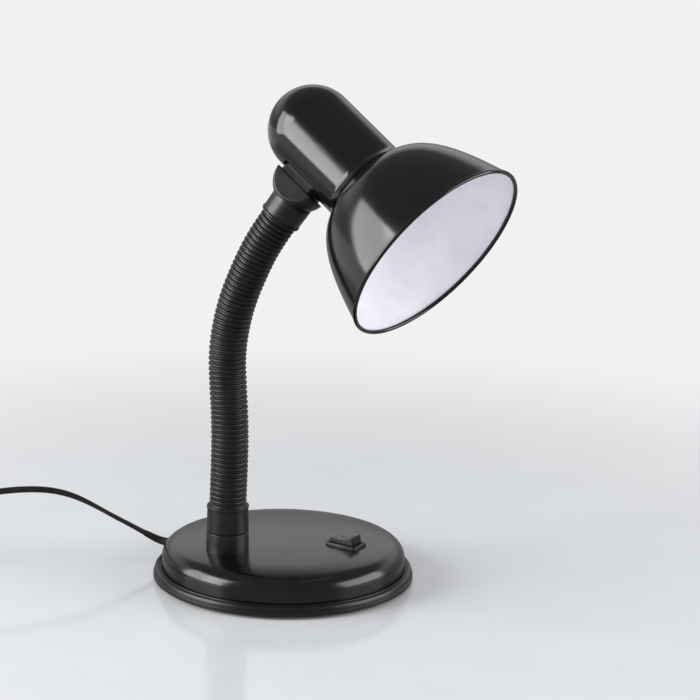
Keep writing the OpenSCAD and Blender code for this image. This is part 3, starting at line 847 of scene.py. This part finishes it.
def switch_place(height):
    r = math.hypot(*SWITCH_AT)
    across = Vector((-SWITCH_AT[1], SWITCH_AT[0], 0))
    tilt = Matrix.Rotation(math.asin(r / CROWN_RADIUS), 4, across)
    up = crown_height(height, r) - HOUSING_SUNK
    return shift(*SWITCH_AT, up) @ tilt @ turn(SWITCH_TURN, "Z")


class DESKLAMP_OT_switch(bpy.types.Operator):
    """Builds the rocker switch: its housing with the bezel, and the rocker"""

    bl_idname = "desklamp.switch"
    bl_label = "Switch"

    def execute(self, context):
        place = switch_place(context.scene.desk_lamp_base.height)
        loops = [rounded_loop(*section) for section in HOUSING_SECTIONS]
        housing = loft("switch_bezel", loops, place, 40)
        piece(housing, "moulded ABS, black satin", "base", ("switch_housing",))

        half, foot = ROCKER_HALF, ROCKER_HALF - ROCKER_FOOT_IN
        outline = []
        for i in range(-12, 13):
            t = i / 12
            outline.append((half * t, ROCKER_MIDDLE + (ROCKER_ENDS - ROCKER_MIDDLE) * t * t))
        outline += [(half, ROCKER_UNDER), (foot, ROCKER_FOOT)]
        outline += [(-foot, ROCKER_FOOT), (-half, ROCKER_UNDER)]
        outline = filleted(outline, 0.6, 3)
        centre = Vector((0, 1))
        loops = []
        for side, inset in ROCKER_SIDES:
            loop = []
            for p in map(Vector, outline):
                q = p + (centre - p).normalized() * inset
                loop.append((q.x, side * ROCKER_WIDTH / 2, q.y))
            loops.append(loop)
        rocker_place = place @ shift(0, 0, ROCKER_PIVOT) @ turn(ROCKER_TILT, "Y")
        paddle = loft("rocker_paddle", loops, rocker_place, 32)
        piece(paddle, "polished ABS, black", "rocker", ("rocker",))
        return {"FINISHED"}


# ---------------------------------------------------------------- neck


# radii of the bores in the collars, and the height of the seam between them
NIPPLE_BORE, CORE_BORE, HOSE_SOCKET = 5.05, 6.05, 11.45
COLLAR_SEAM = 37.0
SEAM_GAP = 0.05


class DESKLAMP_OT_neck_foot(bpy.types.Operator):
    """Builds the two collars at the foot of the neck"""

    bl_idname = "desklamp.neck_foot"
    bl_label = "Neck foot"

    def execute(self, context):
        r = context.scene.desk_lamp_neck.collar_radius
        under, over = COLLAR_SEAM - SEAM_GAP, COLLAR_SEAM + SEAM_GAP
        lower = [
            (NIPPLE_BORE, 23.8), (r + 0.2, 23.8), (r + 0.1, 28), (r, 36.6), (r - 0.35, under),
            (CORE_BORE, under), (CORE_BORE, 31), (NIPPLE_BORE, 31),
        ]  # fmt: skip
        socket = lathe("collar_lower", filleted(lower, 0.4, 4), COLUMN_PLACE, 96)
        piece(socket, "moulded ABS, black satin", "base", ("neck_socket",))
        upper = [
            (CORE_BORE, over), (r - 0.5, over), (r - 0.5, 37.5), (r, 37.8), (r - 0.45, 51.4),
            (r - 0.1, 51.7), (r - 0.1, 53.0), (r - 0.6, 53.6), (HOSE_SOCKET, 53.6),
            (HOSE_SOCKET, 50.6), (CORE_BORE, 50.6),
        ]  # fmt: skip
        ferrule = lathe("collar_upper", filleted(upper, 0.3, 4), COLUMN_PLACE, 96)
        piece(ferrule, "moulded ABS, black satin", "base", ("neck_ferrule",))
        return {"FINISHED"}


RIBS_PER_LINK = 6
# along one rib and its groove, and the rise there from groove to rib
RIB_PROFILE = ((0.0, 0.0), (0.13, 0.0), (0.22, 0.45), (0.33, 0.93), (0.5, 1.0),
               (0.67, 0.93), (0.78, 0.45), (0.87, 0.0))  # fmt: skip
HOSE_SEGMENTS = 56
HOSE_BORE = 9.3
# the hose starts inside the ferrule and ends inside the top fitting, as shares of a length
HOSE_START, HOSE_END = 0.32, 0.58


def mid_link(i):
    """Middle of link i of the neck; 0 is the stretch below the first joint, 11 above the last."""
    leans = (0.0, *LINK_LEANS, TOP_LEAN)
    if i == 0:
        return JOINTS[0] - LINK_PITCH / 2 * lean_direction(leans[0])
    return JOINTS[i - 1] + LINK_PITCH / 2 * lean_direction(leans[i])


def hose_frame(k, t):
    """Centre and direction of the hose between the middles of links k and k + 1."""
    a, b, c = mid_link(k), JOINTS[k], mid_link(k + 1)
    centre = (1 - t) ** 2 * a + 2 * t * (1 - t) * b + t**2 * c
    along = ((1 - t) * (b - a) + t * (c - b)).normalized()
    return centre, along


class DESKLAMP_OT_neck_hose(bpy.types.Operator):
    """Builds the ribbed hose as lengths that each bend across one joint of the neck"""

    bl_idname = "desklamp.neck_hose"
    bl_label = "Neck hose"

    def execute(self, context):
        sizes = context.scene.desk_lamp_neck
        for k in range(len(JOINTS)):
            hose = self.length(f"hose_{k + 1:02d}", k, sizes)
            dress(hose, "polythene hose, black")
            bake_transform(hose)
            if k > 0:
                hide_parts(f"neck_cover_{k}")
        return {"FINISHED"}

    def length(self, name, k, sizes):
        """One length, from the middle of one link to the middle of the next."""
        low = HOSE_START if k == 0 else 0.0
        high = HOSE_END if k == len(JOINTS) - 1 else 1.0
        stations = []
        for rib in range(RIBS_PER_LINK):
            for u, rise in RIB_PROFILE:
                t = (rib + u) / RIBS_PER_LINK
                if low <= t <= high:
                    stations.append((t, rise))
        stations.append((high, 0.0))
        rise_by = sizes.rib_radius - sizes.groove_radius
        rings = [(t, sizes.groove_radius + rise_by * rise) for t, rise in stations]
        rings += [(t, HOSE_BORE) for t, rise in stations[::-1] if rise == 0.0]
        points = []
        for t, r in rings:
            centre, along = hose_frame(k, t)
            side = Vector((0, 1, 0))
            out = side.cross(along)
            for s in range(HOSE_SEGMENTS):
                a = 2 * math.pi * s / HOSE_SEGMENTS
                points.append(centre + r * (math.cos(a) * out + math.sin(a) * side))
        faces = bands(len(rings), HOSE_SEGMENTS, True)
        return mesh_object(name, points, faces, sharp=60)


SEAT_RADIUS = 17.4
BALL_RADIUS = 17.6
FLATS_WIDTH = 20.2
# radius and distance from the last joint
TOP_SLEEVE = ((0, 1.5), (12.6, 1.5), (12.6, 3.0), (12.1, 3.2), (12.4, 15), (0, 15))
VOXEL = 0.33


class DESKLAMP_OT_neck_top(bpy.types.Operator):
    """Builds the fitting on the neck's end: a sleeve grown into a ball with a flat seat"""

    bl_idname = "desklamp.neck_top"
    bl_label = "Neck top"

    def execute(self, context):
        outline = filleted(TOP_SLEEVE, 0.3, 3, closed=False)
        sleeve = lathe("seat_fitting", outline, NECK_END, 96, closed=False)
        ball_z = math.sqrt(BALL_RADIUS**2 - SEAT_RADIUS**2)
        sphere = arc(0, ball_z, BALL_RADIUS, 0, math.pi, 64)
        ball = lathe("ball", sphere, SEAT, 128, closed=False)
        block = loft("block", [rounded_loop(60, FLATS_WIDTH, 0.1, z, 1) for z in (-30, 0)], SEAT)
        self.combine(ball, block, "INTERSECT")
        self.combine(sleeve, ball, "UNION")
        remesh = sleeve.modifiers.new("skin", "REMESH")
        remesh.mode = "VOXEL"
        remesh.voxel_size = VOXEL * MM
        remesh.adaptivity = 0.0
        soften = sleeve.modifiers.new("moulded", "SMOOTH")
        soften.factor = 0.5
        soften.iterations = 5
        apply_modifiers(sleeve)
        for polygon in sleeve.data.polygons:
            polygon.use_smooth = True
        piece(sleeve, "moulded ABS, black satin", "neck_top",
              ("neck_top_fitting",))  # fmt: skip
        return {"FINISHED"}

    def combine(self, obj, other, how):
        """Cuts or joins another object into this one and removes it."""
        cut = obj.modifiers.new("shape", "BOOLEAN")
        cut.operation = how
        cut.object = other
        cut.solver = "EXACT"
        bpy.context.view_layer.update()
        apply_modifiers(obj)
        bpy.data.objects.remove(other)


# ---------------------------------------------------------------- head


SHEET = 0.8
DOME_CENTRE = -18.8
MOUTH_OVERLAP = 1.1
# how much wider the cover's mouth is, and how far back from its edge
FLARE = ((0.05, 5.4), (0.35, 4.2), (1.0, 3.0), (1.9, 1.8), (2.8, 0.8), (3.4, 0.1))


class DESKLAMP_OT_head_cover(bpy.types.Operator):
    """Builds the domed cover of the lampholder with its flared mouth"""

    bl_idname = "desklamp.head_cover"
    bl_label = "Lampholder cover"

    def execute(self, context):
        sizes = context.scene.desk_lamp_head
        r, mouth = sizes.dome_radius, RIM_REACH - sizes.depth + MOUTH_OVERLAP
        flare = [(r + wider, mouth - back) for wider, back in FLARE]
        outside = arc(0, DOME_CENTRE, r, math.pi, math.pi / 2, 40)
        outside += [(r, mouth - 6.5)] + flare
        inside = arc(0, DOME_CENTRE, r - SHEET, math.pi, math.pi / 2, 40)
        inside += [(r - SHEET, mouth - 6.2)] + [(q - SHEET * 0.8, z + 0.1) for q, z in flare]
        outline = outside + inside[::-1]
        cover = lathe("holder_dome", outline, HEAD_AXIS, 160, closed=False, sharp=50)
        piece(cover, "stoved enamel, black gloss", "head", ("lampholder_cover",))
        return {"FINISHED"}


BEAD = 1.25
EYE_RADIUS = 19.6
SEAT_BACK = 57.2
# share of the sheet that the black skin takes, and where the white lining starts
SKIN, LINING = 0.5, 0.53
# radius and distance from the shade's top, from the bell's shoulder to the eye
SHADE_TOP = ((27.4, 0.55), (25.8, 0.12), (24.5, 0), (EYE_RADIUS, 0))


class DESKLAMP_OT_shade(bpy.types.Operator):
    """Builds the shade: black skin, white lining and the rolled rim"""

    bl_idname = "desklamp.shade"
    bl_label = "Shade"

    def execute(self, context):
        sizes = context.scene.desk_lamp_head
        outside = self.outline(sizes)
        middle = self.moved(outside, SHEET * SKIN)
        lining_back = self.moved(outside, SHEET * LINING)
        inside = self.moved(outside, SHEET)
        skin = lathe("shade_skin", outside + middle[::-1], HEAD_AXIS, 224, sharp=60)
        piece(skin, "stoved enamel, black gloss", "head", ("shade",))
        lining = lathe("shade_lining", lining_back + inside[::-1], HEAD_AXIS, 224, sharp=60)
        piece(lining, "stoved enamel, white satin", "head")
        bead_at = (sizes.rim_radius - BEAD, RIM_REACH - BEAD)
        bead = arc(*bead_at, BEAD, math.pi / 2, -3 * math.pi / 2, 20)[:-1]
        roll = lathe("shade_roll", bead, HEAD_AXIS, 224, sharp=80)
        piece(roll, "stoved enamel, black gloss", "head")
        return {"FINISHED"}

    def outline(self, sizes):
        """The shade's outside, from the rim to the eye."""
        steps = 56
        line = []
        for i in range(steps + 1):
            s = BEAD + (SEAT_BACK - BEAD) * (1 - (1 - i / steps) ** 1.5)
            line.append((shade_radius(s, sizes.rim_radius, sizes.depth), RIM_REACH - s))
        top = RIM_REACH - sizes.depth
        line += [(r, top + z) for r, z in SHADE_TOP]
        return line

    def moved(self, line, by):
        """The outline moved inwards."""
        result = []
        for i, (r, z) in enumerate(line):
            a = Vector(line[max(i - 1, 0)])
            b = Vector(line[min(i + 1, len(line) - 1)])
            d = (b - a).normalized()
            result.append((max(r + by * d.y, EYE_RADIUS), z - by * d.x))
        return result


# ---------------------------------------------------------------- hidden parts

CAD_FINISHES = {
    "zinc-plated steel": (
        "base_screws", "clamp_screws", "neck_nipple", "nipple_nut", "nipple_washer",
        "neck_core_foot", "neck_core_top", "swivel_tube", "swivel_spring", "swivel_nut",
        "seat_washer", "holder_bracket", *(f"neck_core_{i}" for i in range(1, 11)),
    ),
    "rolled brass": ("switch_terminals", "screw_shell", "centre_contact", "plug_pins"),
    "moulded urea, cream": ("cord_clamp", "lampholder_body", "shade_ring"),
    "moulded ABS, black satin": ("head_saddle",),
    "grey cast iron": ("ballast",),
    "foam pad, black": ("base_pad",),
    "soft PVC, black": ("base_wiring", "head_wiring"),
}  # fmt: skip


class DESKLAMP_OT_fittings(bpy.types.Operator):
    """Finishes the frame's own parts that stay in view or inside"""

    bl_idname = "desklamp.fittings"
    bl_label = "Fittings"

    def execute(self, context):
        for name, members in CAD_FINISHES.items():
            for member in members:
                obj = dress(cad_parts[member], name)
                for polygon in obj.data.polygons:
                    polygon.use_smooth = True
                obj.data.set_sharp_from_angle(angle=math.radians(30))
        return {"FINISHED"}


# ---------------------------------------------------------------- stage

BACKDROP = "#f1f1f2"
SKY_COLOUR, SKY = "#e6e9ec", 0.25
# what gloss surfaces mirror: the backdrop stands behind the lamp, between these heights (sines of
# the angle above the table) and these sides (cosines from its middle), and the rest is dim
MIRRORED_COLOUR = "#f4f6fa"
BACK_AZIMUTH = math.radians(105)
BACKDROP_RISE, BACKDROP_TOP, BACKDROP_SIDES = (0.17, 0.3), (0.5, 0.61), (0.2, 0.5)
NEAR_TABLE, FULL_BACKDROP, ROOM = 0.38, 0.95, 0.26
# the side of the table that gloss surfaces mirror as bright, and metres out to where it begins
LIT_SIDE, LIT_REACH = math.radians(190), (0.5, 0.72)
NEAR_DIMMING = 0.5
# metres from the base over which the table fades, for the camera and for gloss surfaces
CAMERA_FADE, GLOSS_FADE = (0.2, 0.7), (0.15, 0.4)
TABLE_SIZE, TABLE_BELOW = 12.0, 0.0002
LIT_POINT = Vector((0.03, 0.0, 0.14))
# name, place, size, watts, whether gloss surfaces mirror it
LAMPS = (
    ("window, far half", (-1.545, -0.414, 0.60), (0.68, 1.16), 14, True),
    ("window, near half", (-1.252, -0.996, 0.60), (0.68, 1.16), 22, True),
    ("right panel", (1.59, 0.18, 0.50), (1.46, 1.0), 20, True),
    ("overhead", (0.25, -0.15, 1.7), (1.6, 1.2), 5, False),
    ("front fill", (0.5, -1.8, 0.45), (1.2, 0.7), 8, False),
)


class DESKLAMP_OT_stage(bpy.types.Operator):
    """Builds the floor, the soft lights and the sky"""

    bl_idname = "desklamp.stage"
    bl_label = "Stage"

    def execute(self, context):
        context.scene.view_settings.view_transform = "Standard"
        self.floor(context)
        self.sky(context)
        for lamp in LAMPS:
            self.light(context, *lamp)
        return {"FINISHED"}

    def floor(self, context):
        """A pale glossy table top: it keeps the lamp's shadow and fades into the backdrop."""
        mesh = bpy.data.meshes.new("table_top")
        corners = ((-1, -1), (1, -1), (1, 1), (-1, 1))
        mesh.from_pydata([(x * TABLE_SIZE, y * TABLE_SIZE, 0) for x, y in corners], [], [range(4)])
        floor = bpy.data.objects.new("table_top", mesh)
        context.scene.collection.objects.link(floor)
        floor.location.z = -TABLE_BELOW
        table, tree, where = start_material("table laminate, white")
        cloud = speckled(tree, where, 60.0, detail=3.0)
        tint = add(
            tree,
            "ShaderNodeMix",
            values={MIX_FIRST: linear("#e6e8ea"), MIX_SECOND: linear("#e2e4e6")},
            links={0: cloud},
            data_type="RGBA",
        )
        surface = add(
            tree,
            "ShaderNodeBsdfPrincipled",
            values={"Roughness": 0.12, "IOR": 1.45, "Specular IOR Level": 0.3},
            links={"Base Color": tint.outputs[MIX_RESULT]},
        )
        backdrop = add(
            tree, "ShaderNodeEmission", values={"Color": linear(BACKDROP), "Strength": 1.0}
        )
        away = add(tree, "ShaderNodeVectorMath", links={0: where}, operation="LENGTH")
        far = add(
            tree,
            "ShaderNodeMapRange",
            values={"From Min": CAMERA_FADE[0], "From Max": CAMERA_FADE[1]},
            links={"Value": away.outputs["Value"]},
            interpolation_type="SMOOTHSTEP",
        )
        rays = add(tree, "ShaderNodeLightPath")
        seen = add(
            tree,
            "ShaderNodeMath",
            links={0: far.outputs[0], 1: rays.outputs["Is Camera Ray"]},
            operation="MULTIPLY",
        )
        faded = add(
            tree,
            "ShaderNodeMixShader",
            links={0: seen.outputs[0], 1: surface.outputs[0], 2: backdrop.outputs[0]},
        )
        distant = add(
            tree,
            "ShaderNodeMapRange",
            values={"From Min": GLOSS_FADE[0], "From Max": GLOSS_FADE[1]},
            links={"Value": away.outputs["Value"]},
        )
        plain = add(
            tree,
            "ShaderNodeMapRange",
            values={"To Min": NEAR_DIMMING, "To Max": 1.0},
            links={"Value": distant.outputs[0]},
        )
        mirrored = add(
            tree,
            "ShaderNodeMath",
            links={0: plain.outputs[0], 1: rays.outputs["Is Glossy Ray"]},
            operation="MULTIPLY",
        )
        mix = add(
            tree,
            "ShaderNodeMixShader",
            links={
                0: mirrored.outputs[0],
                1: faded.outputs[0],
                2: self.mirrored_table(tree, where, distant.outputs[0]),
            },
        )
        end_material(table, tree, mix)
        mesh.materials.append(table)

    def mirrored_table(self, tree, where, distant):
        """The far table as gloss surfaces mirror it: bright on the window's side only."""
        side = add(
            tree,
            "ShaderNodeVectorMath",
            values={1: (math.cos(LIT_SIDE), math.sin(LIT_SIDE), 0)},
            links={0: where},
            operation="DOT_PRODUCT",
        )
        level = add(
            tree,
            "ShaderNodeMapRange",
            values={
                "From Min": LIT_REACH[0], "From Max": LIT_REACH[1],
                "To Min": NEAR_TABLE, "To Max": 1.0,
            },
            links={"Value": side.outputs["Value"]},
        )  # fmt: skip
        strength = add(
            tree, "ShaderNodeMath", links={0: level.outputs[0], 1: distant}, operation="MULTIPLY"
        )
        glow = add(
            tree,
            "ShaderNodeEmission",
            values={"Color": linear(BACKDROP)},
            links={"Strength": strength.outputs[0]},
        )
        return glow.outputs[0]

    def sky(self, context):
        """Soft light from all round; a pale backdrop where the camera or a reflection looks."""
        world = bpy.data.worlds.new("studio")
        world.use_nodes = True
        tree = world.node_tree
        tree.nodes.clear()
        rays = add(tree, "ShaderNodeLightPath")
        seen = add(
            tree,
            "ShaderNodeMath",
            links={0: rays.outputs["Is Camera Ray"], 1: rays.outputs["Is Transmission Ray"]},
            operation="MAXIMUM",
        )
        pale = add(
            tree, "ShaderNodeBackground", values={"Color": linear(BACKDROP), "Strength": 1.0}
        )
        soft = add(
            tree, "ShaderNodeBackground", values={"Color": linear(SKY_COLOUR), "Strength": SKY}
        )
        mirrored = add(
            tree,
            "ShaderNodeBackground",
            values={"Color": linear(MIRRORED_COLOUR)},
            links={"Strength": self.backdrop_level(tree)},
        )
        light = add(
            tree,
            "ShaderNodeMixShader",
            links={
                0: rays.outputs["Is Glossy Ray"],
                1: soft.outputs[0],
                2: mirrored.outputs[0],
            },
        )
        mix = add(
            tree,
            "ShaderNodeMixShader",
            links={0: seen.outputs[0], 1: light.outputs[0], 2: pale.outputs[0]},
        )
        add(tree, "ShaderNodeOutputWorld", links={"Surface": mix.outputs[0]})
        context.scene.world = world

    def backdrop_level(self, tree):
        """What a gloss surface mirrors: the lit backdrop behind the lamp, a dim room elsewhere."""
        towards = add(tree, "ShaderNodeTexCoord").outputs["Generated"]
        height = add(tree, "ShaderNodeSeparateXYZ", links={0: towards})
        rising = add(
            tree,
            "ShaderNodeMapRange",
            values={
                "From Min": BACKDROP_RISE[0], "From Max": BACKDROP_RISE[1],
                "To Min": NEAR_TABLE, "To Max": FULL_BACKDROP,
            },
            links={"Value": height.outputs["Z"]},
        )  # fmt: skip
        low = add(
            tree,
            "ShaderNodeMapRange",
            values={
                "From Min": BACKDROP_TOP[0], "From Max": BACKDROP_TOP[1],
                "To Min": 1.0, "To Max": 0.0,
            },
            links={"Value": height.outputs["Z"]},
        )  # fmt: skip
        behind = add(
            tree,
            "ShaderNodeVectorMath",
            values={1: (math.cos(BACK_AZIMUTH), math.sin(BACK_AZIMUTH), 0)},
            links={0: towards},
            operation="DOT_PRODUCT",
        )
        facing = add(
            tree,
            "ShaderNodeMapRange",
            values={"From Min": BACKDROP_SIDES[0], "From Max": BACKDROP_SIDES[1]},
            links={"Value": behind.outputs["Value"]},
        )
        both = add(
            tree,
            "ShaderNodeMath",
            links={0: low.outputs[0], 1: facing.outputs[0]},
            operation="MULTIPLY",
        )
        level = add(
            tree,
            "ShaderNodeMapRange",
            values={"To Min": ROOM},
            links={"Value": both.outputs[0], "To Max": rising.outputs[0]},
        )
        return level.outputs[0]

    def light(self, context, name, place, size, watts, mirrored):
        data = bpy.data.lights.new(name, "AREA")
        data.shape = "RECTANGLE"
        data.size, data.size_y = size
        data.energy = watts
        lamp = bpy.data.objects.new(name, data)
        context.scene.collection.objects.link(lamp)
        lamp.location = place
        lamp.visible_glossy = mirrored
        aim = LIT_POINT - Vector(place)
        lamp.rotation_euler = aim.to_track_quat("-Z", "Y").to_euler()


# ---------------------------------------------------------------- add-on

GROUPS = {
    "desk_lamp_base": DeskLampBase,
    "desk_lamp_neck": DeskLampNeck,
    "desk_lamp_head": DeskLampHead,
    "desk_lamp_finish": DeskLampFinish,
}
OPERATORS = (
    DESKLAMP_OT_camera,
    DESKLAMP_OT_cord,
    DESKLAMP_OT_base,
    DESKLAMP_OT_switch,
    DESKLAMP_OT_neck_foot,
    DESKLAMP_OT_neck_hose,
    DESKLAMP_OT_neck_top,
    DESKLAMP_OT_head_cover,
    DESKLAMP_OT_shade,
    DESKLAMP_OT_fittings,
    DESKLAMP_OT_stage,
)


class DESKLAMP_PT_panel(bpy.types.Panel):
    """Lists the lamp's settings and the pieces that can be built"""

    bl_idname = "DESKLAMP_PT_panel"
    bl_label = "Desk Lamp"
    bl_space_type = "VIEW_3D"
    bl_region_type = "UI"
    bl_category = "Desk Lamp"

    def draw(self, context):
        for name, group in GROUPS.items():
            box = self.layout.box()
            for key in group.__annotations__:
                box.prop(getattr(context.scene, name), key)
        for operator in OPERATORS:
            self.layout.operator(operator.bl_idname)


def register():
    for name, group in GROUPS.items():
        bpy.utils.register_class(group)
        setattr(bpy.types.Scene, name, bpy.props.PointerProperty(type=group))
    for item in (*OPERATORS, DESKLAMP_PT_panel):
        bpy.utils.register_class(item)


def unregister():
    for item in (DESKLAMP_PT_panel, *reversed(OPERATORS)):
        bpy.utils.unregister_class(item)
    for name, group in reversed(list(GROUPS.items())):
        delattr(bpy.types.Scene, name)
        bpy.utils.unregister_class(group)


def main():
    register()
    for operator in OPERATORS:
        area, action = operator.bl_idname.split(".")
        getattr(getattr(bpy.ops, area), action)()


if __name__ == "__main__":
    main()
